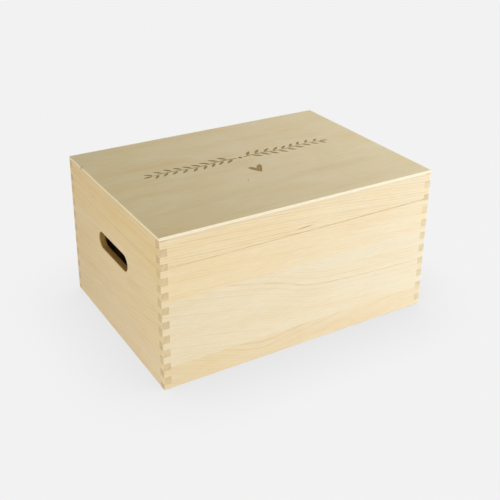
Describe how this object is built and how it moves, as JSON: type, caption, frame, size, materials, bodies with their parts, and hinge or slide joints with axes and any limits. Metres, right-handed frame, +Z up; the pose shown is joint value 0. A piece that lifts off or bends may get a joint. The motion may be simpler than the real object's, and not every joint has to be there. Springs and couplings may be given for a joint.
{
  "type": "keepsake box",
  "caption": "Rectangular wooden keepsake box with box-jointed corners, hand slots in both short sides and a hinged, flat, plywood-topped lid.",
  "frame": {"origin": "centre of the rectangle that the box stands on, at the height of the surface under it", "axes": "+X along the long side, to the right as seen from the front; +Y from the front to the hinges at the back; +Z up. The lid is closed"},
  "size_m": [0.35, 0.254, 0.18],
  "materials": {
    "pine": "sanded, untreated",
    "plywood": "sanded, untreated",
    "brass": "polished",
    "brass_screws": "polished"
  },
  "bodies": {
    "base": {"base_front_board": "pine", "base_back_board": "pine", "base_left_board": "pine", "base_right_board": "pine", "base_floor_panel": "plywood", "left_hinge_base_leaf": "brass", "left_hinge_pin": "brass", "left_hinge_base_screws": "brass_screws", "right_hinge_base_leaf": "brass", "right_hinge_pin": "brass", "right_hinge_base_screws": "brass_screws"},
    "lid": {"lid_front_rail": "pine", "lid_back_rail": "pine", "lid_left_rail": "pine", "lid_right_rail": "pine", "lid_top_panel": "plywood", "left_hinge_lid_leaf": "brass", "left_hinge_lid_screws": "brass_screws", "right_hinge_lid_leaf": "brass", "right_hinge_lid_screws": "brass_screws"}
  },
  "joints": [
    {"name": "lid_hinge", "type": "hinge", "parent": "base", "child": "lid", "pos_m": [0, 0.1271, 0.14405], "axis": [-1, 0, 0], "range_deg": [0, 186]}
  ]
}
